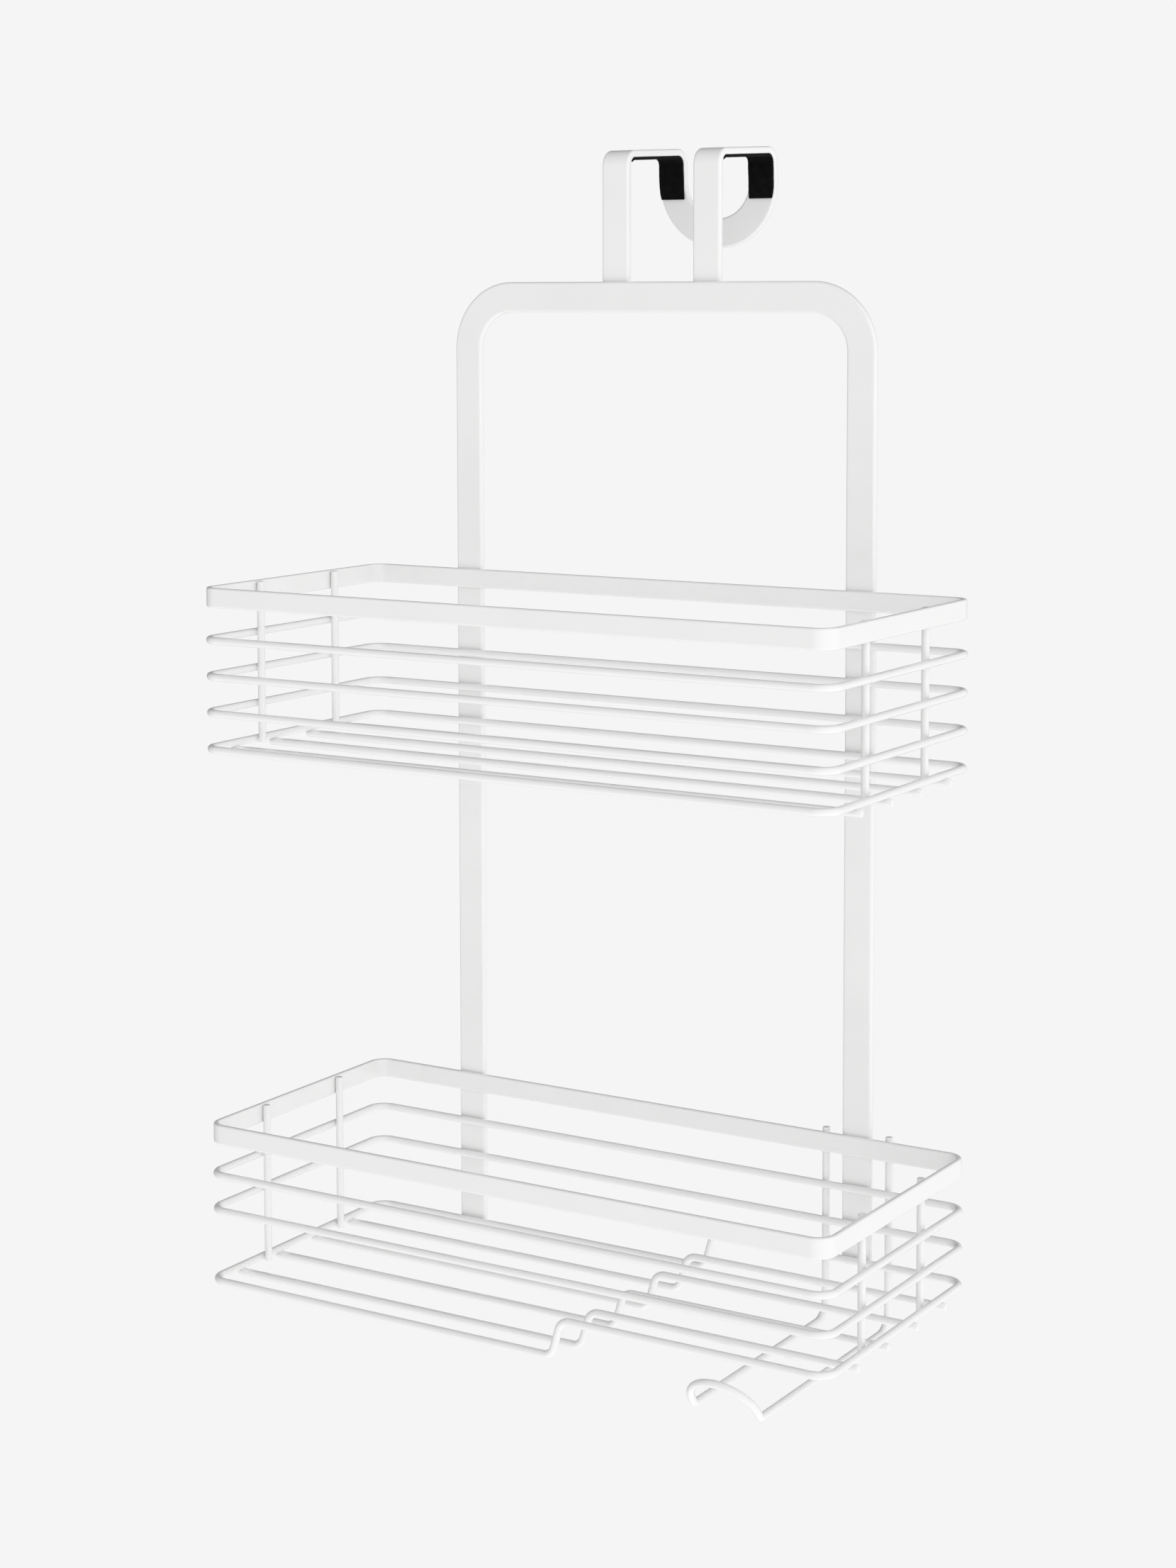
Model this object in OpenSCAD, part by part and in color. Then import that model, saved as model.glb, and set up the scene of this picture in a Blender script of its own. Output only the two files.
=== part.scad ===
// Two-tier hanging shower caddy: a flat-bar frame with a double over-the-top hook, two wire baskets
// and a wire holder below. Origin: middle of the hook's saddle, where it rests on the panel it hangs
// from. X runs along the baskets, Y points to the panel side, Z points up.

/* [Flat bar] */
// Width of the flat bar
bar_w = 15; // [10:1:20]
// Thickness of the flat bar
bar_t = 3.5; // [2:0.5:5]

/* [Frame] */
// Overall width of the frame
frame_w = 235; // [180:5:280]
// Inside radius of the frame's two upper corners
frame_r = 18; // [10:1:30]

/* [Hook] */
// Distance between the middles of the two hook straps
hook_pitch = 51; // [40:1:80]
// Straight length of the top strip between its two bends
hook_reach = 43; // [30:1:60]
// Inside radius of the strap's bends
hook_r = 4.5; // [4:0.5:8]
// Height of the front bend's centre above the frame's top edge
hook_rise = 56; // [40:1:90]
// Straight drop behind the panel, down to the start of the loop
hook_drop = 9; // [5:1:30]
// How far the top strip slopes up towards the back, in degrees; 2.9973 has a sine and cosine of six digits
hook_tilt = 2.9973; // [0:0.0001:5]
// Length of strap welded behind the frame's top bar
hook_lap = 13; // [8:1:15]

/* [Pads] */
// Thickness of the soft pads inside the hook
pad_t = 1.4; // [1:0.2:2.4]
// Bare margin beside a pad
pad_margin = 0.6; // [0.2:0.2:1.4]
// How far a pad reaches down the drop, from the rear bend's centre
pad_drop = 17.5; // [10:0.5:24]
// How far a pad follows the front bend, in degrees
pad_wrap = 45; // [0:5:60]

/* [Baskets] */
// Width of each basket's rim
basket_w = 336; // [280:2:380]
// Depth of each basket, front to back
basket_d = 144; // [110:2:160]
// Outside corner radius of the baskets
corner_r = 9; // [8:1:24]
// Height of the rim band
rim_h = 9.5; // [8:0.5:16]
// Thickness of the rim band
rim_t = 2.5; // [1.5:0.5:3]
// Diameter of the wire
wire_d = 3.6; // [3:0.2:4.4]
// Rim's top edge to the middle of the first ring wire
first_ring = 25.4; // [18:0.2:32]
// Distance from one ring wire to the next
ring_pitch = 17.5; // [12:0.5:22]
// Frame's top edge down to the upper rim's top edge
upper_rim_drop = 144.5; // [110:0.5:180]
// Frame's top edge down to the lower rim's top edge
lower_rim_drop = 405; // [380:1:440]
// Distance between two floor wires
floor_pitch = 30; // [24:1:32]
// How far a floor wire's ends pass the base ring
floor_over = 0.9; // [0:0.1:2]
// Distance between the two uprights on one side
upright_pitch = 60; // [40:2:90]
// How far an upright's top stays below the rim's top edge
upright_inset = 0.5; // [0.5:0.5:5]

/* [Lower basket step] */
// Where the lower basket's floor steps up, right of the middle
step_x = 31; // [0:1:60]
// Height of the step
step_rise = 17.28; // [11.52:0.48:24]
// Middle radius of the wire's bends at the step
step_r = 6; // [3:1:7]

/* [Holder] */
// Middle of the holder, right of the caddy's middle
holder_x = 110; // [90:1:120]
// Distance between the holder's two arms
holder_w = 33.2; // [28:0.2:60]
// How far the holder's uprights stand above the lower rim
holder_top = 1.6; // [0:0.2:4]
// Height of the arms' middle below the low base ring's middle
holder_drop = 14; // [8:1:40]
// Reach of the arms in front of the frame
holder_reach = 126; // [80:0.5:130]
// Middle radius of the bends at the back of the arms
holder_r = 9; // [6:1:14]
// Straight part of the front arch, before its round part
arch_leg = 3.2; // [2.5:0.1:12]
// Middle radius of the bends where the arms turn up into the arch
arch_bend = 3; // [2:1:4]

/* [Hidden] */
steel_colour = [0.95, 0.95, 0.94];
pad_colour = [0.05, 0.05, 0.05];
wire_r = wire_d / 2;
round_fn = 48;
eps = 0.001;

// Sloping wire follows the 7-24-25 and 3-4-5 triangles, so that straights and bends meet exactly.
// The step rises at 74 degrees and the arch leans 37 degrees forward.
step_dir = [0.28, 0, 0.96];
arch_dir = [0, -0.6, 0.8];

// Hook: u runs along the top strip and v square to it, from the front bend's centre.
hook_r_out = hook_r + bar_t;
saddle_u = (hook_reach - pad_t) / 2;
saddle_v = hook_r - pad_t;
bend_y = -(saddle_u * cos(hook_tilt) - saddle_v * sin(hook_tilt));
bend_z = -(saddle_u * sin(hook_tilt) + saddle_v * cos(hook_tilt));
loop_r_out = (hook_pitch + bar_w) / 2;
loop_r_in = (hook_pitch - bar_w) / 2;

// Frame planes
frame_back = bend_y - hook_r_out;
frame_front = frame_back - bar_t;
frame_top = bend_z - hook_rise;
frame_r_out = frame_r + bar_w;

// Basket planes, shared by both baskets
mid_y = frame_front - basket_d / 2;
ring_out = 2 * wire_r - rim_t;
ring_x = basket_w / 2 + ring_out - wire_r;
ring_back = frame_front - wire_r;
ring_front = frame_front - basket_d + wire_r;
ring_corner = corner_r + ring_out - wire_r;
upright_x = basket_w / 2 - rim_t - wire_r;
base_drop = first_ring + 3 * ring_pitch;
floor_half = basket_w / 2 + ring_out + floor_over;
upper_top = frame_top - upper_rim_drop;
lower_top = frame_top - lower_rim_drop;
low_z = lower_top - base_drop;
high_z = low_z + step_rise;

// Half the step's length in X, measured between the corners of the bent line
step_half = step_rise * step_dir.x / step_dir.z / 2;
holder_z = low_z - holder_drop;
holder_y = frame_front + wire_r;
arch_front = frame_front - holder_reach;
arch_len = arch_leg + holder_w / 2;

function unit(v) = v / norm(v);
function turn(a, b) = acos(max(-1, min(1, unit(a) * unit(b))));
// Straight length that a bend of radius r takes off each side of corner b
function cut(a, b, c, r) = r * tan(turn(b - a, c - b) / 2);

// Round wire along a list of corners, each bent to its own radius; closed joins the last to the first
module bent_wire(corners, radii, closed = false) {
    n = len(corners);
    function at(i) = corners[(i + n) % n];
    function bent(i) = closed || (i > 0 && i < n - 1);
    function loss(i) = bent(i) ? cut(at(i - 1), at(i), at(i + 1), radii[(i + n) % n]) : 0;
    for (i = [0 : closed ? n - 1 : n - 2]) {
        dir = unit(at(i + 1) - at(i));
        start = at(i) + dir * loss(i);
        end = at(i + 1) - dir * loss((i + 1) % n);
        length = norm(end - start);
        if (length > eps) straight_wire(start, dir, length);
    }
    for (i = [0 : n - 1]) if (bent(i)) wire_bend(at(i - 1), at(i), at(i + 1), radii[i]);
}

module straight_wire(from, dir, length) {
    side = abs(dir.z) > 0.9 ? [1, 0, 0] : [0, 0, 1];
    x = unit(cross(side, dir));
    y = cross(dir, x);
    multmatrix([for (k = [0 : 2]) [x[k], y[k], dir[k], from[k]]])
        cylinder(h = length, r = wire_r, $fn = round_fn);
}

module wire_bend(a, b, c, r) {
    go = unit(b - a);
    inward = unit(unit(c - b) - go * (unit(c - b) * go));
    centre = b - go * cut(a, b, c, r) + inward * r;
    x = -inward;
    z = cross(x, go);
    multmatrix([for (k = [0 : 2]) [x[k], go[k], z[k], centre[k]]])
        rotate_extrude(angle = turn(b - a, c - b), $fn = 2 * round_fn)
            translate([r, 0]) circle(r = wire_r, $fn = round_fn);
}

// Rectangle with the upper two corners round
module arch_outline(w, h, r) {
    translate([-w / 2, -h]) square([w, h - r]);
    translate([-w / 2 + r, -r - eps]) square([w - 2 * r, r + eps]);
    for (s = [-1, 1]) translate([s * (w / 2 - r), -r]) circle(r = r, $fn = 2 * round_fn);
}

module rounded_outline(w, d, r) {
    square([w - 2 * r, d], center = true);
    square([w, d - 2 * r], center = true);
    for (i = [-1, 1], j = [-1, 1])
        translate([i * (w / 2 - r), j * (d / 2 - r)]) circle(r = r, $fn = 2 * round_fn);
}

// Inverted U of flat bar. The right leg is shorter, to end at the raised floor.
module frame() {
    left_leg = frame_top - low_z + wire_r;
    right_leg = frame_top - high_z + wire_r;
    color(steel_colour) translate([0, frame_back, frame_top]) rotate([90, 0, 0])
        linear_extrude(bar_t) difference() {
            arch_outline(frame_w, left_leg, frame_r_out);
            translate([0, -bar_w]) arch_outline(frame_w - 2 * bar_w, left_leg, frame_r);
            translate([frame_w / 2 - bar_w - 1, -left_leg - 1])
                square([bar_w + 2, left_leg - right_leg + 1]);
        }
}

// Places its children in the hook's sloping frame: X, then u along the top strip, then v.
module on_hook() {
    translate([0, bend_y, bend_z]) rotate([hook_tilt, 0, 0]) children();
}

// A quarter or part bend of a strip of width w between two radii, turning about the X axis
module strip_bend(r_in, r_out, w, from, angle) {
    rotate([90, 0, 90]) translate([0, 0, -w / 2])
        rotate_extrude(angle = angle, start = from, $fn = 2 * round_fn)
            translate([r_in, 0]) square([r_out - r_in, w]);
}

// One flat bar: up behind the frame, over, down, round the loop, and back the same way
module hook() {
    strap = hook_rise + hook_lap;
    color(steel_colour) for (s = [-1, 1]) {
        translate([0, bend_y, bend_z]) translate([s * hook_pitch / 2, 0, 0]) {
            translate([-bar_w / 2, -hook_r_out, -strap]) cube([bar_w, bar_t, strap]);
            strip_bend(hook_r, hook_r_out, bar_w, 90 + hook_tilt, 90 - hook_tilt);
        }
        on_hook() translate([s * hook_pitch / 2, 0, 0]) {
            translate([-bar_w / 2, 0, hook_r]) cube([bar_w, hook_reach, bar_t]);
            translate([0, hook_reach, 0]) strip_bend(hook_r, hook_r_out, bar_w, 0, 90);
            translate([-bar_w / 2, hook_reach + hook_r, -hook_drop]) cube([bar_w, bar_t, hook_drop]);
        }
    }
    color(steel_colour) on_hook() translate([0, hook_reach + hook_r_out, -hook_drop])
        rotate([90, 0, 0]) rotate([0, 0, 180]) rotate_extrude(angle = 180, $fn = 2 * round_fn)
            translate([loop_r_in, 0]) square([bar_w, bar_t]);
}

// Soft pad under the top strip and down the front of the drop; s is -1 on the left, 1 on the right
module hook_pad(s) {
    w = bar_w - 2 * pad_margin;
    r = hook_r - pad_t;
    color(pad_colour) on_hook() translate([s * hook_pitch / 2, 0, 0]) {
        strip_bend(r, hook_r, w, 90, pad_wrap);
        translate([-w / 2, 0, r]) cube([w, hook_reach, pad_t]);
        translate([0, hook_reach, 0]) strip_bend(r, hook_r, w, 0, 90);
        intersection() {
            translate([-w / 2, hook_reach + r, -pad_drop]) cube([w, pad_t, pad_drop]);
            pad_trim(s);
        }
    }
}

// Keeps a pad inside the loop's outer edge
module pad_trim(s) {
    translate([-s * hook_pitch / 2, hook_reach + hook_r, -hook_drop]) rotate([90, 0, 0])
        translate([0, 0, -1]) linear_extrude(pad_t + 2) {
            circle(r = loop_r_out - pad_margin, $fn = 4 * round_fn);
            translate([-loop_r_out, 0]) square([2 * loop_r_out, hook_drop + 1]);
        }
}

module rim(top) {
    color(steel_colour) translate([0, mid_y, top - rim_h]) linear_extrude(rim_h) difference() {
        rounded_outline(basket_w, basket_d, corner_r);
        rounded_outline(basket_w - 2 * rim_t, basket_d - 2 * rim_t, corner_r - rim_t);
    }
}

module ring(z) {
    corners = [
        [-ring_x, ring_front, z], [ring_x, ring_front, z], [ring_x, ring_back, z], [-ring_x, ring_back, z]
    ];
    color(steel_colour) bent_wire(corners, [for (c = corners) ring_corner], closed = true);
}

// Base ring that steps up on the right
module stepped_ring() {
    low = step_x - step_half;
    high = step_x + step_half;
    corners = [
        [-ring_x, ring_front, low_z], [low, ring_front, low_z], [high, ring_front, high_z],
        [ring_x, ring_front, high_z], [ring_x, ring_back, high_z],
        [high, ring_back, high_z], [low, ring_back, low_z], [-ring_x, ring_back, low_z]
    ];
    s = step_r;
    c = ring_corner;
    color(steel_colour) bent_wire(corners, [c, s, s, c, c, s, s, c], closed = true);
}

// Floor wires are numbered from the front
function floor_y(i) = mid_y + (i - 2.5) * floor_pitch;

module floor_wire(i, z) {
    y = floor_y(i);
    color(steel_colour) bent_wire([[-floor_half, y, z - wire_d], [floor_half, y, z - wire_d]], [0, 0]);
}

module stepped_floor_wire(i) {
    y = floor_y(i);
    corners = [
        [-floor_half, y, low_z - wire_d], [step_x - step_half, y, low_z - wire_d],
        [step_x + step_half, y, high_z - wire_d], [floor_half, y, high_z - wire_d]
    ];
    color(steel_colour) bent_wire(corners, [0, step_r, step_r, 0]);
}

// sx is -1 left or 1 right, sy is -1 front or 1 back
module upright(sx, sy, top, base) {
    y = mid_y + sy * upright_pitch / 2;
    color(steel_colour) translate([sx * upright_x, y, base - wire_r])
        cylinder(h = top - upright_inset - base + wire_r, r = wire_r, $fn = round_fn);
}

// One wire: down behind the lower basket, forward under the raised floor, and up in a leaning arch
module holder_wire() {
    up = arch_dir * arch_len;
    left = holder_x - holder_w / 2;
    right = holder_x + holder_w / 2;
    top = lower_top + holder_top;
    corners = [
        [left, holder_y, top], [left, holder_y, holder_z], [left, arch_front, holder_z],
        [left, arch_front, holder_z] + up, [right, arch_front, holder_z] + up,
        [right, arch_front, holder_z], [right, holder_y, holder_z], [right, holder_y, top]
    ];
    round_end = holder_w / 2;
    radii = [0, holder_r, arch_bend, round_end, round_end, arch_bend, holder_r, 0];
    color(steel_colour) bent_wire(corners, radii);
}

frame();
hook();
hook_pad(-1);  // hook_pad_left
hook_pad(1);  // hook_pad_right
rim(upper_top);  // upper_rim
ring(upper_top - first_ring);  // upper_ring_1
ring(upper_top - first_ring - ring_pitch);  // upper_ring_2
ring(upper_top - first_ring - 2 * ring_pitch);  // upper_ring_3
ring(upper_top - base_drop);  // upper_base_ring
floor_wire(1, upper_top - base_drop);  // upper_floor_wire_1
floor_wire(2, upper_top - base_drop);  // upper_floor_wire_2
floor_wire(3, upper_top - base_drop);  // upper_floor_wire_3
floor_wire(4, upper_top - base_drop);  // upper_floor_wire_4
upright(-1, -1, upper_top, upper_top - base_drop);  // upper_upright_left_front
upright(-1, 1, upper_top, upper_top - base_drop);  // upper_upright_left_back
upright(1, -1, upper_top, upper_top - base_drop);  // upper_upright_right_front
upright(1, 1, upper_top, upper_top - base_drop);  // upper_upright_right_back
rim(lower_top);  // lower_rim
ring(lower_top - first_ring);  // lower_ring_1
ring(lower_top - first_ring - ring_pitch);  // lower_ring_2
stepped_ring();  // lower_base_ring
stepped_floor_wire(1);  // lower_floor_wire_1
stepped_floor_wire(2);  // lower_floor_wire_2
stepped_floor_wire(3);  // lower_floor_wire_3
stepped_floor_wire(4);  // lower_floor_wire_4
upright(-1, -1, lower_top, low_z);  // lower_upright_left_front
upright(-1, 1, lower_top, low_z);  // lower_upright_left_back
upright(1, -1, lower_top, high_z);  // lower_upright_right_front
upright(1, 1, lower_top, high_z);  // lower_upright_right_back
holder_wire();
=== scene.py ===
import math

import bmesh
import bpy
from mathutils import Matrix, Vector


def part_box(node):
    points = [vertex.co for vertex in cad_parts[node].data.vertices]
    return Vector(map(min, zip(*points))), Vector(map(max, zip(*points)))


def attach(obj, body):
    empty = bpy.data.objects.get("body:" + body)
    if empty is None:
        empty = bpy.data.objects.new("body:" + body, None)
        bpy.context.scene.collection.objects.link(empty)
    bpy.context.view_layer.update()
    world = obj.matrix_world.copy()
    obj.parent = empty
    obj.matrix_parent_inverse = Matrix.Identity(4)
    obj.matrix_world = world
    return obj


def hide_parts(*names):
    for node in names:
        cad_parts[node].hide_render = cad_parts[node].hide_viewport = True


# The looks of a two-tier hanging shower caddy: white powder-coated bar, band and wire, and two foam pads.
# Everything is in metres in the CAD frame, with z up. Places come from the CAD nodes' boxes; the sizes that
# a box doesn't hold are named here.

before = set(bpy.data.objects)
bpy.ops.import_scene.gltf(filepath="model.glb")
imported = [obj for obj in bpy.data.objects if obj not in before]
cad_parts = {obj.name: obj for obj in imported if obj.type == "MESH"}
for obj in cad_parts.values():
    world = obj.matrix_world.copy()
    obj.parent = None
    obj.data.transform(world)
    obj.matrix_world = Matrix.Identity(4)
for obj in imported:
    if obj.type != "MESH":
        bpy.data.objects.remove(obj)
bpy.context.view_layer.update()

# Flat bar, band and wire; the EDGE values are the radii of their rounded edges
BAR_WIDTH = 0.015
BAR_THICKNESS = 0.0035
BAR_EDGE = 0.0012
RIM_THICKNESS = 0.0025
RIM_EDGE = 0.0009
WIRE_RADIUS = 0.0018
WIRE_END_EDGE = 0.0004

# Flat sections: how far beside a rounded edge an extra point lies, at most and as a share of the face left
# beside it, and the share of the rounding that stays where the section shrinks at an end
SHOULDER = 0.0004
SHOULDER_SHARE = 0.6
EDGE_LEFT = 0.2

# Bend radii: the frame's on its inner edge, the hook's on its inner face, the rim's on its outer face, and
# the wires' on their middle
FRAME_CORNER = 0.018
HOOK_BEND = 0.0045
RIM_CORNER = 0.009
STEP_BEND = 0.006
HOLDER_BEND = 0.009
ARCH_BEND = 0.003
RING_CORNER = RIM_CORNER - RIM_THICKNESS + WIRE_RADIUS

# Hook: its two straps' distance, the top strips' length between bends, the drops' length and the strips' tilt
HOOK_PITCH = 0.051
HOOK_REACH = 0.043
HOOK_DROP = 0.009
HOOK_TILT = math.radians(2.9973)

# Pads: how much narrower than the bar on each side, how far they reach down the drop and round the front bend
PAD_THICKNESS = 0.0014
PAD_EDGE = 0.0003
PAD_MARGIN = 0.0006
PAD_DROP = 0.0175
PAD_WRAP = math.radians(45)

# Unevenness of the pads: two waves along the cut sides and one along the cut end, each as height and radians
# per metre, how much of the end that takes in, and the creases at the rear bend, as share of the radius and
# waves per turn
PAD_SIDE_SLOW = (0.00004, 610)
PAD_SIDE_FAST = (0.00002, 2100)
PAD_END_WAVE = (0.00012, 520)
PAD_END = 0.001
PAD_CREASES = (0.022, 19)

# Lower basket's step and the holder under it
STEP_X = 0.031
STEP_RISE = 0.01728
STEP_DIRECTION = Vector((0.28, 0, 0.96))
ARCH_LEG = 0.0032
ARCH_DIRECTION = Vector((0, -0.6, 0.8))

# Weld fillets: half the size of the foot where wires cross and where a wire lies on a flat face, half the
# length on the holder, how far an upright's weld stops short of each end of its contact with the rim, how
# much narrower the waist is, and how deep and how much narrower the hidden ends are
WELD_FOOT = 0.0013
WELD_LINE = (0.0045, 0.0009)
WELD_HOLDER = 0.004
WELD_STOP = 0.0012
WELD_WAIST = 0.25
WELD_DEPTH = 0.00012
WELD_TUCK = 0.12

# Fineness of the meshes
WIRE_SIDES = 32
BEND_STEP = math.radians(5)
EDGE_STEPS = 4
PAD_STEP = 0.0008
WELD_SIDES = 28
WELD_STEPS = 8
SAME_POINT = 1e-6

# Size of the powder coat's orange peel on the thick and on the thin metal
BAR_PEEL = 0.0016
WIRE_PEEL = 0.0011

X, Y, Z = Vector((1, 0, 0)), Vector((0, 1, 0)), Vector((0, 0, 1))


# ---- Paths ----------------------------------------------------------------------------------------------

def bent_path(corners, radii, closed=False):
    """(point, direction) pairs along a line of straights whose corners are bent to their radii."""
    path = []
    count = len(corners)
    for i, corner in enumerate(corners):
        if not closed and i == 0:
            path.append((corner, (corners[1] - corner).normalized()))
            continue
        if not closed and i == count - 1:
            path.append((corner, (corner - corners[i - 1]).normalized()))
            continue
        go = (corner - corners[i - 1]).normalized()
        leave = (corners[(i + 1) % count] - corner).normalized()
        angle = go.angle(leave)
        inward = (leave - go * leave.dot(go)).normalized()
        centre = corner - go * radii[i] * math.tan(angle / 2) + inward * radii[i]
        steps = max(2, math.ceil(angle / BEND_STEP))
        for k in range(steps + 1):
            turned = angle * k / steps
            point = centre + (go * math.sin(turned) - inward * math.cos(turned)) * radii[i]
            if not path or (point - path[-1][0]).length > SAME_POINT:
                path.append((point, go * math.cos(turned) + inward * math.sin(turned)))
    return path


def stations(path, side):
    """(point, side, up, direction) along a path, the side carried along without twist."""
    found = []
    for point, direction in path:
        side = (side - direction * side.dot(direction)).normalized()
        found.append((point, side, direction.cross(side), direction))
    return found


# ---- Sections -------------------------------------------------------------------------------------------

def round_section(inset=0.0):
    """Corners of the wire's section, as (side, up) offsets."""
    radius = WIRE_RADIUS - inset
    turns = [2 * math.pi * k / WIRE_SIDES for k in range(WIRE_SIDES)]
    return [(radius * math.cos(t), radius * math.sin(t)) for t in turns]


def flat_section(width, thickness, edge, inset=0.0):
    """Corners of a flat bar's section: rounded edges, and a point beside each that keeps the faces flat."""
    half = (width / 2 - inset, thickness / 2 - inset)
    radius = max(edge - inset, edge * EDGE_LEFT)
    shoulder = min(SHOULDER, (thickness / 2 - edge) * SHOULDER_SHARE)
    points = []
    for quarter in range(4):
        sx = 1 if quarter in (0, 3) else -1
        sy = 1 if quarter < 2 else -1
        cx, cy = sx * (half[0] - radius), sy * (half[1] - radius)
        arc = []
        for k in range(EDGE_STEPS + 1):
            turn = math.pi / 2 * (quarter + k / EDGE_STEPS)
            arc.append((cx + radius * math.cos(turn), cy + radius * math.sin(turn)))
        before, after = arc[0], arc[-1]
        if quarter % 2 == 0:
            before, after = (before[0], before[1] - sy * shoulder), (after[0] - sx * shoulder, after[1])
        else:
            before, after = (before[0] - sx * shoulder, before[1]), (after[0], after[1] - sy * shoulder)
        points += [before] + arc + [after]
    return points


# ---- Meshes ---------------------------------------------------------------------------------------------

def new_object(name, bm, material):
    """Turns a bmesh into a smooth-shaded object with one material."""
    bmesh.ops.recalc_face_normals(bm, faces=bm.faces)
    for face in bm.faces:
        face.smooth = True
    mesh = bpy.data.meshes.new(name)
    bm.to_mesh(mesh)
    bm.free()
    mesh.materials.append(material)
    piece = bpy.data.objects.new(name, mesh)
    bpy.context.scene.collection.objects.link(piece)
    return piece


def add_skin(bm, rings, closed=False):
    """Adds quads between rings of points, and a face at each end unless the rings close on themselves."""
    made = [[bm.verts.new(point) for point in ring] for ring in rings]
    around = len(made[0])
    for i in range(len(made) if closed else len(made) - 1):
        here, there = made[i], made[(i + 1) % len(made)]
        for k in range(around):
            m = (k + 1) % around
            bm.faces.new((here[k], here[m], there[m], there[k]))
    if not closed:
        bm.faces.new(list(reversed(made[0])))
        bm.faces.new(made[-1])


def sweep_rings(path, side, section, end_edge=0.0, closed=False):
    """Rings of a section carried along a path. The ends are cut square, their edges rounded to end_edge."""
    stops = [(*s, 0.0) for s in stations(path, side)]
    if not closed and end_edge:
        first, last = stops[0], stops[-1]
        stops = stops[1:-1]
        for k in range(EDGE_STEPS, -2, -1):
            turn = math.pi / 2 * max(k, 0) / EDGE_STEPS
            inset = end_edge * (1 - math.sin(turn)) + (end_edge if k < 0 else 0)
            pull = end_edge * (1 - math.cos(turn))
            stops.insert(0, (first[0] + first[3] * pull, *first[1:4], inset))
            stops.append((last[0] - last[3] * pull, *last[1:4], inset))
    rings = []
    for point, right, up, _, inset in stops:
        rings.append([point + right * a + up * b for a, b in section(inset)])
    return rings


def wire(name, path, side, material, closed=False):
    """A round wire along a path."""
    bm = bmesh.new()
    add_skin(bm, sweep_rings(path, side, round_section, WIRE_END_EDGE, closed), closed)
    return new_object(name, bm, material)


def flat(name, path, side, width, thickness, edge, material, closed=False):
    """A flat bar or band along a path, its width starting out along side."""
    def section(inset):
        return flat_section(width, thickness, edge, inset)

    bm = bmesh.new()
    add_skin(bm, sweep_rings(path, side, section, edge, closed), closed)
    return new_object(name, bm, material)


# ---- Materials ------------------------------------------------------------------------------------------

def new_material(name):
    """A material with the parts of its node tree: material, nodes, links and shader."""
    material = bpy.data.materials.new(name)
    material.use_nodes = True
    tree = material.node_tree
    return material, tree.nodes, tree.links, tree.nodes["Principled BSDF"]


def noise(nodes, links, place, scale, detail=2.0):
    """A 0 to 1 noise with its features about 1 / scale metres across."""
    texture = nodes.new("ShaderNodeTexNoise")
    texture.inputs["Scale"].default_value = scale
    texture.inputs["Detail"].default_value = detail
    texture.inputs["Roughness"].default_value = 0.5
    links.new(place, texture.inputs["Vector"])
    return texture.outputs["Fac"]


def spread(nodes, links, value, low, high):
    """Maps the middle of a 0 to 1 texture onto low to high."""
    ramp = nodes.new("ShaderNodeMapRange")
    ramp.inputs["From Min"].default_value = 0.3
    ramp.inputs["From Max"].default_value = 0.7
    ramp.inputs["To Min"].default_value = low
    ramp.inputs["To Max"].default_value = high
    links.new(value, ramp.inputs["Value"])
    return ramp.outputs["Result"]


def tint(nodes, links, value, low, high):
    """Mixes two colours by a 0 to 1 texture."""
    ramp = nodes.new("ShaderNodeValToRGB")
    ramp.color_ramp.elements[0].position = 0.3
    ramp.color_ramp.elements[1].position = 0.7
    ramp.color_ramp.elements[0].color = (*low, 1)
    ramp.color_ramp.elements[1].color = (*high, 1)
    links.new(value, ramp.inputs["Fac"])
    return ramp.outputs["Color"]


def bump(nodes, links, height, distance, strength, under=None):
    """A normal raised by a height texture, on top of another normal if there is one."""
    node = nodes.new("ShaderNodeBump")
    node.inputs["Distance"].default_value = distance
    node.inputs["Strength"].default_value = strength
    links.new(height, node.inputs["Height"])
    if under is not None:
        links.new(under, node.inputs["Normal"])
    return node.outputs["Normal"]


def powder_coat(name, orange_peel):
    """Satin white powder coat: an even white, slightly uneven in gloss, with orange peel of that size."""
    material, nodes, links, shader = new_material(name)
    place = nodes.new("ShaderNodeTexCoord").outputs["Object"]
    drift = noise(nodes, links, place, 28.0)
    white = tint(nodes, links, drift, (0.865, 0.866, 0.862), (0.885, 0.885, 0.882))
    links.new(white, shader.inputs["Base Color"])
    gloss = noise(nodes, links, place, 420.0, 3.0)
    links.new(spread(nodes, links, gloss, 0.28, 0.36), shader.inputs["Roughness"])
    peel = noise(nodes, links, place, 1 / orange_peel, 1.0)
    grain = noise(nodes, links, place, 6 / orange_peel, 2.0)
    soft = bump(nodes, links, peel, 0.00003, 0.5)
    links.new(bump(nodes, links, grain, 0.000006, 0.4, soft), shader.inputs["Normal"])
    shader.inputs["Specular IOR Level"].default_value = 0.5
    shader.inputs["Coat Weight"].default_value = 1.0
    shader.inputs["Coat Roughness"].default_value = 0.12
    return material


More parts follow.
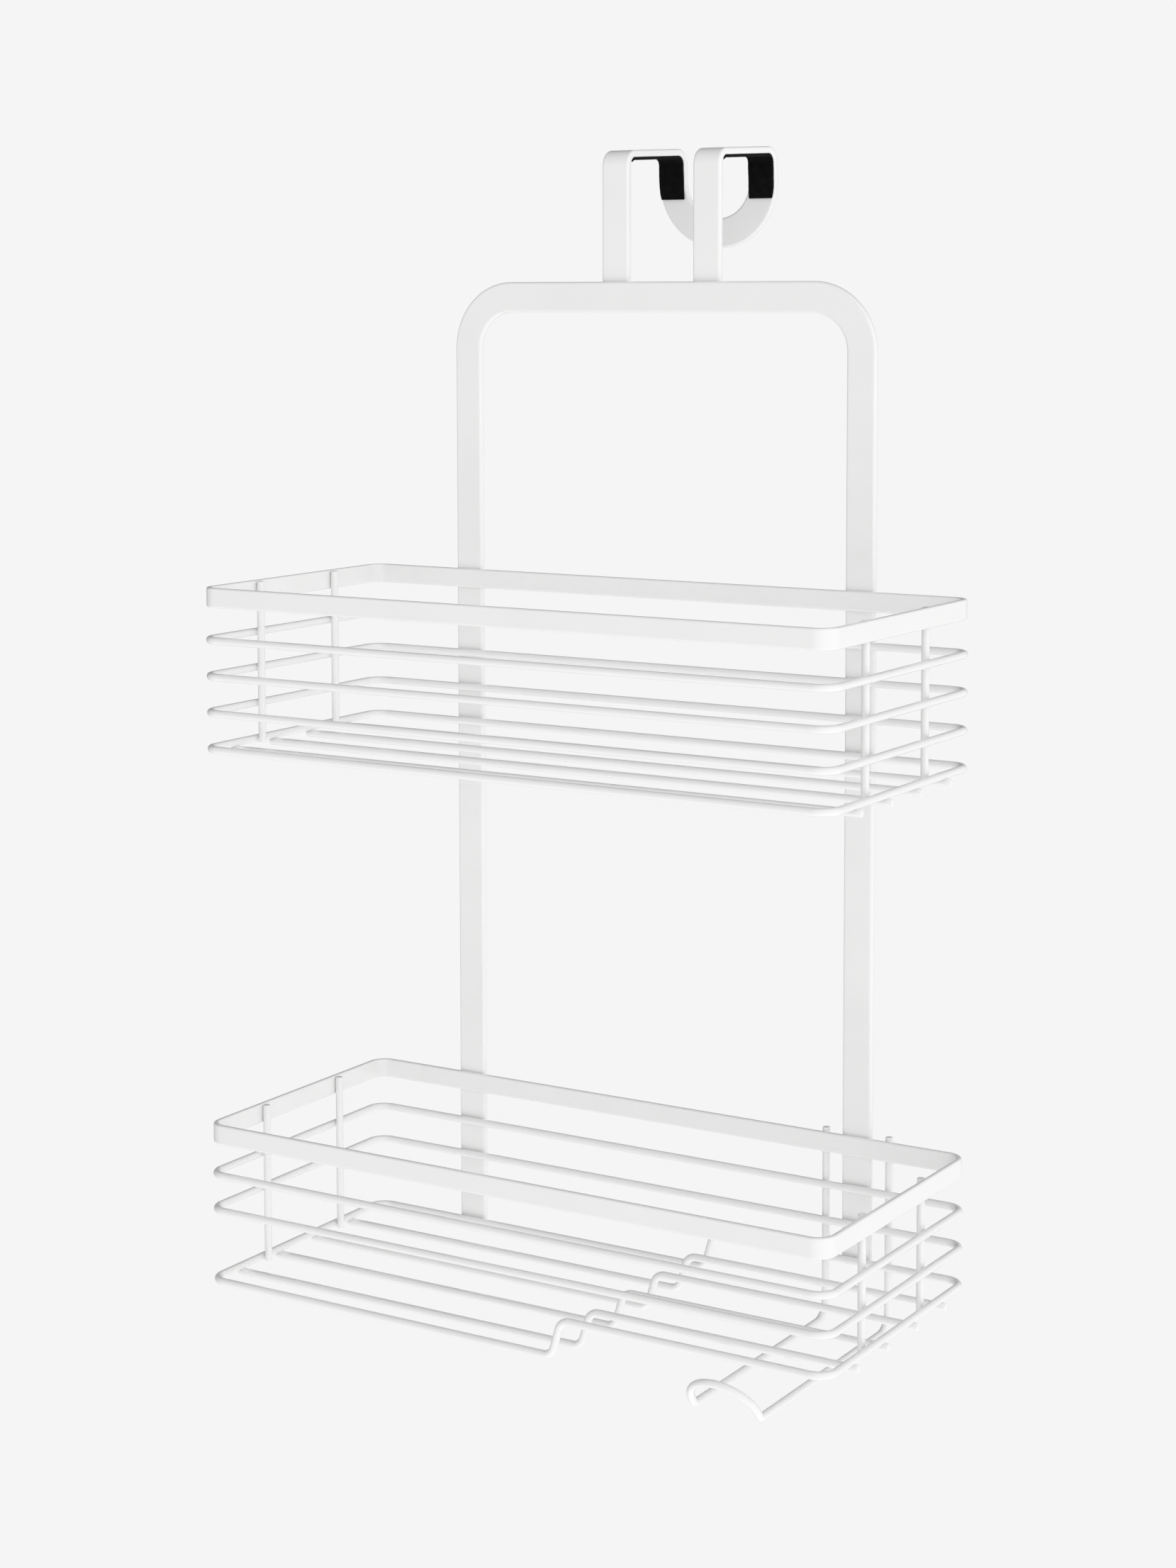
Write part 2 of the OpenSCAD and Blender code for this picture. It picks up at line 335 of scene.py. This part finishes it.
def black_foam(name):
    """Matt black foam: closed cells as fine pits, a faint greyish bloom, and a soft sheen."""
    material, nodes, links, shader = new_material(name)
    place = nodes.new("ShaderNodeTexCoord").outputs["Object"]
    bloom = noise(nodes, links, place, 260.0, 4.0)
    black = tint(nodes, links, bloom, (0.0015, 0.0015, 0.0015), (0.005, 0.005, 0.0053))
    links.new(black, shader.inputs["Base Color"])
    cells = nodes.new("ShaderNodeTexVoronoi")
    cells.inputs["Scale"].default_value = 2600.0
    links.new(place, cells.inputs["Vector"])
    ridges = noise(nodes, links, place, 900.0, 3.0)
    links.new(spread(nodes, links, ridges, 0.7, 0.9), shader.inputs["Roughness"])
    pits = bump(nodes, links, cells.outputs["Distance"], 0.00012, 0.6)
    links.new(bump(nodes, links, ridges, 0.00015, 0.5, pits), shader.inputs["Normal"])
    shader.inputs["Specular IOR Level"].default_value = 0.08
    shader.inputs["Sheen Weight"].default_value = 0.012
    shader.inputs["Sheen Roughness"].default_value = 0.5
    return material


bar_coat = powder_coat("white_powder_coat_bar", BAR_PEEL)
wire_coat = powder_coat("white_powder_coat_wire", WIRE_PEEL)
foam = black_foam("black_foam")


def stands_for(piece, node):
    """Puts a finished piece on the caddy's one body in place of its CAD node."""
    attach(piece, "root")
    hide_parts(node)


# ---- Frame ----------------------------------------------------------------------------------------------

def middle(node):
    """The middle of a node's box."""
    low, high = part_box(node)
    return (low + high) / 2


def make_frame():
    """The inverted U of flat bar; its right leg ends level with the feet of the right uprights."""
    low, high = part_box("frame")
    x = high.x - BAR_WIDTH / 2
    y = (low.y + high.y) / 2
    top = high.z - BAR_WIDTH / 2
    right_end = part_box("lower_upright_right_front")[0].z
    corners = [Vector((-x, y, low.z)), Vector((-x, y, top)), Vector((x, y, top)), Vector((x, y, right_end))]
    bend = FRAME_CORNER + BAR_WIDTH / 2
    path = bent_path(corners, [0, bend, bend, 0])
    piece = flat("frame_bar", path, X, BAR_WIDTH, BAR_THICKNESS, BAR_EDGE, bar_coat)
    stands_for(piece, "frame")


# ---- Hook and pads --------------------------------------------------------------------------------------

# The CAD origin in the hook's own u and v: under the top strip's pad, halfway between strap and drop
SADDLE = Vector(((HOOK_REACH - PAD_THICKNESS) / 2, HOOK_BEND - PAD_THICKNESS))


def on_hook(x, u, v):
    """A point of the hook: u along the top strip from the front bend's centre, v square to it."""
    du, dv = u - SADDLE.x, v - SADDLE.y
    tilt_cos, tilt_sin = math.cos(HOOK_TILT), math.sin(HOOK_TILT)
    return Vector((x, du * tilt_cos - dv * tilt_sin, du * tilt_sin + dv * tilt_cos))


def front_corner(x, r):
    """Where the strap's line and the top strip's line would meet, at r from the front bend's centre."""
    return on_hook(x, -r * (1 - math.sin(HOOK_TILT)) / math.cos(HOOK_TILT), r)


def make_hook():
    """One flat bar: up a strap, over, down its drop, round the half-round loop, and back the same way."""
    r = HOOK_BEND + BAR_THICKNESS / 2
    half = HOOK_PITCH / 2
    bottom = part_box("hook")[0].z
    corners = []
    for x in (-half, half):
        top = front_corner(x, r)
        strap = Vector((x, top.y, bottom))
        side = [strap, top, on_hook(x, HOOK_REACH + r, r), on_hook(x, HOOK_REACH + r, -HOOK_DROP - half)]
        corners += side if x < 0 else list(reversed(side))
    path = bent_path(corners, [0, r, r, half, half, r, r, 0])
    piece = flat("hook_bar", path, X, BAR_WIDTH, BAR_THICKNESS, BAR_EDGE, bar_coat)
    stands_for(piece, "hook")


def subdivided(path, step):
    """A path with points added about a step apart along its straights."""
    fine = [path[0]]
    for point, direction in path[1:]:
        start = fine[-1][0]
        parts = max(1, round((point - start).length / step))
        fine += [(start.lerp(point, k / parts), direction) for k in range(1, parts + 1)]
    return fine


def make_pad(node, sign):
    """A foam strip under the top strip and down the drop, its outer side cut by hand to the loop's curve."""
    r = HOOK_BEND - PAD_THICKNESS / 2
    start = Vector((0, -r * math.sin(PAD_WRAP), r * math.cos(PAD_WRAP)))
    front = Vector((0, -r * math.tan(PAD_WRAP / 2), r))
    corners = [start, front, Vector((0, HOOK_REACH + r, r)), Vector((0, HOOK_REACH + r, -PAD_DROP))]
    path = subdivided(bent_path(corners, [0, r, r, 0]), PAD_STEP)
    half = BAR_WIDTH / 2 - PAD_MARGIN
    loop = HOOK_PITCH / 2 + half

    def section(inset):
        return flat_section(2 * half, PAD_THICKNESS, PAD_EDGE, inset)

    def shaped(point):
        """Moves a point of the plain strip to its place on the hook, with the uneven cut and the creases."""
        x, u, v = point
        run = u - v
        side = 1 if x > 0 else -1
        if abs(x) > half / 2:
            x += PAD_SIDE_SLOW[0] * math.sin(run * PAD_SIDE_SLOW[1] + side + sign)
            x += PAD_SIDE_FAST[0] * math.sin(run * PAD_SIDE_FAST[1] + 3 * side)
            if v < -HOOK_DROP and side == sign:
                x -= sign * (loop - math.sqrt(loop * loop - (v + HOOK_DROP) ** 2))
        if v < PAD_END - PAD_DROP:
            v += PAD_END_WAVE[0] * (1 + math.sin(point.x * PAD_END_WAVE[1] + sign))
        if u > HOOK_REACH and v > 0:
            out = Vector((u - HOOK_REACH, v))
            if out.length < r:
                out *= 1 + PAD_CREASES[0] * math.sin(out.angle(Vector((1, 0))) * PAD_CREASES[1])
            u, v = HOOK_REACH + out.x, out.y
        return on_hook(sign * HOOK_PITCH / 2 + x, u, v)

    rings = sweep_rings(path, X, section, PAD_EDGE)
    bm = bmesh.new()
    add_skin(bm, [[shaped(point) for point in ring] for ring in rings])
    piece = new_object(node + "_foam", bm, foam)
    stands_for(piece, node)


make_frame()
make_hook()
make_pad("hook_pad_left", -1)
make_pad("hook_pad_right", 1)


# ---- Baskets --------------------------------------------------------------------------------------------

def level_corners(node, inset):
    """Corners of a level rectangle inside a node's box, from the front left, anticlockwise from above."""
    low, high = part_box(node)
    z = (low.z + high.z) / 2
    left, right = low.x + inset, high.x - inset
    front, back = low.y + inset, high.y - inset
    return [Vector((x, y, z)) for x, y in ((left, front), (right, front), (right, back), (left, back))]


def make_rim(node):
    """A basket's top band."""
    low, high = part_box(node)
    half = RIM_THICKNESS / 2
    path = bent_path(level_corners(node, half), [RIM_CORNER - half] * 4, closed=True)
    height = high.z - low.z
    piece = flat(node + "_band", path, Z, height, RIM_THICKNESS, RIM_EDGE, bar_coat, closed=True)
    stands_for(piece, node)


def make_ring(node):
    """A level ring of wire."""
    path = bent_path(level_corners(node, WIRE_RADIUS), [RING_CORNER] * 4, closed=True)
    stands_for(wire(node + "_wire", path, Z, wire_coat, closed=True), node)


def step_corners(y, low_z):
    """The two corners of a wire's step up, the wire running to the right."""
    run = STEP_RISE * STEP_DIRECTION.x / STEP_DIRECTION.z
    return [Vector((STEP_X - run / 2, y, low_z)), Vector((STEP_X + run / 2, y, low_z + STEP_RISE))]


def make_stepped_ring(node):
    """A ring of wire whose front and back step up to the right."""
    low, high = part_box(node)
    low_z, high_z = low.z + WIRE_RADIUS, high.z - WIRE_RADIUS
    left, right = low.x + WIRE_RADIUS, high.x - WIRE_RADIUS
    front, back = low.y + WIRE_RADIUS, high.y - WIRE_RADIUS
    corners = [Vector((left, front, low_z)), *step_corners(front, low_z), Vector((right, front, high_z))]
    corners += [Vector((right, back, high_z)), *reversed(step_corners(back, low_z))]
    corners.append(Vector((left, back, low_z)))
    side = [RING_CORNER, STEP_BEND, STEP_BEND, RING_CORNER]
    path = bent_path(corners, side + side, closed=True)
    stands_for(wire(node + "_wire", path, Z, wire_coat, closed=True), node)


def make_floor_wire(node):
    """A floor wire, stepped if its node is taller than a straight wire would be."""
    low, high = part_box(node)
    y, low_z = (low.y + high.y) / 2, low.z + WIRE_RADIUS
    stepped = high.z - low.z > 4 * WIRE_RADIUS
    steps = step_corners(y, low_z) if stepped else []
    corners = [Vector((low.x, y, low_z)), *steps, Vector((high.x, y, high.z - WIRE_RADIUS))]
    path = bent_path(corners, [STEP_BEND] * len(corners))
    stands_for(wire(node + "_wire", path, Y, wire_coat), node)


def make_upright(node):
    """A straight upright wire."""
    low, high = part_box(node)
    centre = middle(node)
    path = bent_path([Vector((centre.x, centre.y, low.z)), Vector((centre.x, centre.y, high.z))], [0, 0])
    stands_for(wire(node + "_wire", path, X, wire_coat), node)


def make_holder(node):
    """One wire: down behind the lower basket, forward under its raised floor, and up in a leaning arch."""
    low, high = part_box(node)
    left, right = low.x + WIRE_RADIUS, high.x - WIRE_RADIUS
    back, bottom = high.y - WIRE_RADIUS, low.z + WIRE_RADIUS
    rise = ARCH_DIRECTION * (ARCH_LEG + (right - left) / 2)
    front = low.y + WIRE_RADIUS - rise.y
    side = [Vector((left, back, high.z)), Vector((left, back, bottom)), Vector((left, front, bottom))]
    side.append(side[-1] + rise)
    other = [Vector((right, p.y, p.z)) for p in reversed(side)]
    arch = (right - left) / 2
    path = bent_path(side + other, [0, HOLDER_BEND, ARCH_BEND, arch, arch, ARCH_BEND, HOLDER_BEND, 0])
    stands_for(wire(node + "_bent", path, X, wire_coat), node)


for node in sorted(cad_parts):
    if node.endswith("_rim"):
        make_rim(node)
    elif node == "lower_base_ring":
        make_stepped_ring(node)
    elif "_ring" in node:
        make_ring(node)
    elif "_floor_wire_" in node:
        make_floor_wire(node)
    elif "_upright_" in node:
        make_upright(node)
    elif node == "holder_wire":
        make_holder(node)


# ---- Welds ----------------------------------------------------------------------------------------------

def sag(offset):
    """How far a wire's surface falls away at an offset from its top line."""
    return WIRE_RADIUS - math.sqrt(WIRE_RADIUS ** 2 - offset ** 2)


def add_fillet(bm, contact, normal, axis, reach, wires_cross):
    """A fillet round the point where a wire touches a face or another wire. The normal points from the
    first body to the second; the axis is the first wire's, or the second's where the first body is flat."""
    across = normal.cross(axis)
    rows = []
    for k in range(-1, WELD_STEPS + 2):
        share = min(max(k / WELD_STEPS, 0), 1)
        inside = WELD_DEPTH if k < 0 else -WELD_DEPTH if k > WELD_STEPS else 0.0
        size = 1 - WELD_WAIST * math.sin(math.pi * share) - (WELD_TUCK if inside else 0)
        row = []
        for m in range(WELD_SIDES):
            turn = 2 * math.pi * m / WELD_SIDES
            p, q = reach[0] * math.cos(turn), reach[1] * math.sin(turn)
            low = -sag(q) if wires_cross else 0.0
            high = sag(p) if wires_cross else sag(q)
            height = low + (high - low) * (1 - math.cos(math.pi * share)) / 2 - inside
            row.append(contact + axis * p * size + across * q * size + normal * height)
        rows.append(row)
    add_skin(bm, rows)


def cross_fillet(bm, contact, normal, axis):
    """A fillet where two wires cross."""
    add_fillet(bm, contact, normal, axis, (WELD_FOOT, WELD_FOOT), True)


def line_fillet(bm, contact, normal, axis, half_length=WELD_LINE[0]):
    """A fillet where a wire lies along a flat face."""
    add_fillet(bm, contact, normal, axis, (half_length, WELD_LINE[1]), False)


def weld_piece(name, bm):
    """Puts a set of fillets on the caddy's one body as a piece of its own."""
    piece = new_object(name, bm, wire_coat)
    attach(piece, "root")


def ring_height(node, side):
    """The height of a ring's middle on the left (-1) or the right (1)."""
    low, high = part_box(node)
    return low.z + WIRE_RADIUS if side < 0 else high.z - WIRE_RADIUS


def weld_basket(tier):
    """The welds between a basket's rings, rim, uprights and floor wires."""
    bm = bmesh.new()
    rings = [n for n in sorted(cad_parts) if n.startswith(tier) and "_ring" in n]
    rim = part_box(tier + "_rim")
    for node in sorted(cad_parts):
        low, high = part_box(node)
        if node.startswith(tier + "_upright"):
            side = 1 if low.x > 0 else -1
            place = Vector((middle(node).x + side * WIRE_RADIUS, middle(node).y, 0))
            for ring in rings:
                cross_fillet(bm, place + Z * ring_height(ring, side), X * side, Z)
            overlap = (high.z - rim[0].z) / 2
            line_fillet(bm, place + Z * (rim[0].z + overlap), X * -side, Z, overlap - WELD_STOP)
        elif node.startswith(tier + "_floor"):
            for side in (-1, 1):
                x = side * (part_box(rings[0])[1].x - WIRE_RADIUS)
                z = low.z + 2 * WIRE_RADIUS if side < 0 else high.z
                cross_fillet(bm, Vector((x, middle(node).y, z)), Z, X)
    weld_piece(tier + "_basket_welds", bm)


def weld_frame():
    """The welds between the rings' backs and the frame's legs."""
    bm = bmesh.new()
    low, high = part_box("frame")
    for ring in sorted(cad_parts):
        if "_ring" in ring:
            for side in (-1, 1):
                x = side * (high.x - BAR_WIDTH / 2)
                line_fillet(bm, Vector((x, low.y, ring_height(ring, side))), -Y, X)
    weld_piece("frame_welds", bm)


def weld_holder():
    """The welds between the holder's two risers and the lower basket's back."""
    bm = bmesh.new()
    low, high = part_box("holder_wire")
    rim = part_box("lower_rim")
    for x in (low.x + WIRE_RADIUS, high.x - WIRE_RADIUS):
        for ring in ("lower_ring_1", "lower_ring_2", "lower_base_ring"):
            cross_fillet(bm, Vector((x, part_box(ring)[1].y, ring_height(ring, 1))), -Y, Z)
        line_fillet(bm, Vector((x, rim[1].y, middle("lower_rim").z)), Y, Z, WELD_HOLDER)
    weld_piece("holder_welds", bm)


weld_basket("upper")
weld_basket("lower")
weld_frame()
weld_holder()


# ---- Stage ----------------------------------------------------------------------------------------------

scene = bpy.context.scene

# Camera: place, yaw, pitch down, roll, focal length in mm of a 36 mm frame, and shift
CAMERA_PLACE = (0.71058, -1.24639, -0.06453)
CAMERA_YAW = math.radians(31.692)
CAMERA_PITCH = math.radians(5.086)
CAMERA_ROLL = math.radians(-0.109)
CAMERA_LENS = 66.57
CAMERA_SHIFT = -0.15

# The surround's light from a direction: a level, plus a slope, plus squares and products of its x, y and z
WORLD_LEVEL = 1.015
WORLD_SLOPE = (0.42, -0.2, -0.43)
WORLD_SQUARES = (-0.246, -0.155, 0)
WORLD_PRODUCTS = (0.14, -0.132, 0.355)
BACKDROP_LEVEL = 0.913

# Floor: its height, its radius, and the share of the radius at which it starts to fade out
FLOOR_Z = -2.0
FLOOR_RADIUS = 2.4
FLOOR_FADE = 0.6
FLOOR_SIDES = 96


def make_camera():
    """The camera stands in front and to the right, a little above the baskets, looking slightly down."""
    data = bpy.data.cameras.new("camera")
    data.sensor_width = 36.0
    data.lens = CAMERA_LENS
    data.shift_y = CAMERA_SHIFT
    camera = bpy.data.objects.new("camera", data)
    scene.collection.objects.link(camera)
    aim = Matrix.Rotation(CAMERA_YAW, 4, "Z") @ Matrix.Rotation(math.pi / 2 - CAMERA_PITCH, 4, "X")
    turn = aim @ Matrix.Rotation(CAMERA_ROLL, 4, "Z")
    camera.matrix_world = Matrix.Translation(CAMERA_PLACE) @ turn
    scene.camera = camera


def make_world():
    """A soft surround, brighter on the right, in front and below. The camera sees it as even pale grey."""
    world = bpy.data.worlds.new("studio")
    scene.world = world
    world.use_nodes = True
    nodes, links = world.node_tree.nodes, world.node_tree.links
    nodes.clear()
    direction = nodes.new("ShaderNodeTexCoord").outputs["Generated"]
    split = nodes.new("ShaderNodeSeparateXYZ")
    links.new(direction, split.inputs["Vector"])
    shifted = nodes.new("ShaderNodeCombineXYZ")
    for axis, following in zip("XYZ", "YZX"):
        links.new(split.outputs[following], shifted.inputs[axis])

    def weighed(first, second, weights):
        """The dot product of weights with first, or with first times second."""
        if second is not None:
            product = nodes.new("ShaderNodeVectorMath")
            product.operation = "MULTIPLY"
            links.new(first, product.inputs[0])
            links.new(second, product.inputs[1])
            first = product.outputs["Vector"]
        dot = nodes.new("ShaderNodeVectorMath")
        dot.operation = "DOT_PRODUCT"
        dot.inputs[1].default_value = weights
        links.new(first, dot.inputs[0])
        return dot.outputs["Value"]

    level = None
    for term in (
        weighed(direction, None, WORLD_SLOPE),
        weighed(direction, direction, WORLD_SQUARES),
        weighed(direction, shifted.outputs["Vector"], WORLD_PRODUCTS),
    ):
        total = nodes.new("ShaderNodeMath")
        links.new(term, total.inputs[0])
        if level is None:
            total.inputs[1].default_value = WORLD_LEVEL
        else:
            links.new(level, total.inputs[1])
        level = total.outputs["Value"]
    surround = nodes.new("ShaderNodeBackground")
    links.new(level, surround.inputs["Strength"])
    surround.inputs["Color"].default_value = (1, 1, 1, 1)
    backdrop = nodes.new("ShaderNodeBackground")
    backdrop.inputs["Color"].default_value = (1, 1, 1, 1)
    backdrop.inputs["Strength"].default_value = BACKDROP_LEVEL
    mix = nodes.new("ShaderNodeMixShader")
    links.new(nodes.new("ShaderNodeLightPath").outputs["Is Camera Ray"], mix.inputs["Fac"])
    links.new(surround.outputs["Background"], mix.inputs[1])
    links.new(backdrop.outputs["Background"], mix.inputs[2])
    output = nodes.new("ShaderNodeOutputWorld")
    links.new(mix.outputs["Shader"], output.inputs["Surface"])


def make_floor():
    """A plain pale floor, two metres under the saddle as under a shower door, fading out at its edge."""
    bm = bmesh.new()
    bmesh.ops.create_circle(bm, cap_ends=True, radius=FLOOR_RADIUS, segments=FLOOR_SIDES)
    material, nodes, links, shader = new_material("pale_floor")
    place = nodes.new("ShaderNodeTexCoord").outputs["Object"]
    shader.inputs["Roughness"].default_value = 0.9
    shader.inputs["Emission Color"].default_value = (1, 1, 1, 1)
    shader.inputs["Emission Strength"].default_value = 0.22
    cloud = noise(nodes, links, place, 2.0)
    pale = tint(nodes, links, cloud, (0.86, 0.86, 0.86), (0.88, 0.88, 0.88))
    links.new(pale, shader.inputs["Base Color"])
    length = nodes.new("ShaderNodeVectorMath")
    length.operation = "LENGTH"
    links.new(place, length.inputs[0])
    fade = nodes.new("ShaderNodeMapRange")
    fade.interpolation_type = "SMOOTHSTEP"
    fade.inputs["From Min"].default_value = FLOOR_RADIUS * FLOOR_FADE
    fade.inputs["From Max"].default_value = FLOOR_RADIUS
    fade.inputs["To Min"].default_value = 1.0
    fade.inputs["To Max"].default_value = 0.0
    links.new(length.outputs["Value"], fade.inputs["Value"])
    links.new(fade.outputs["Result"], shader.inputs["Alpha"])
    floor = new_object("floor", bm, material)
    floor.location = (0, 0, FLOOR_Z)
    floor.visible_diffuse = False
    floor.visible_glossy = False


scene.view_settings.view_transform = "Standard"
make_camera()
make_world()
make_floor()
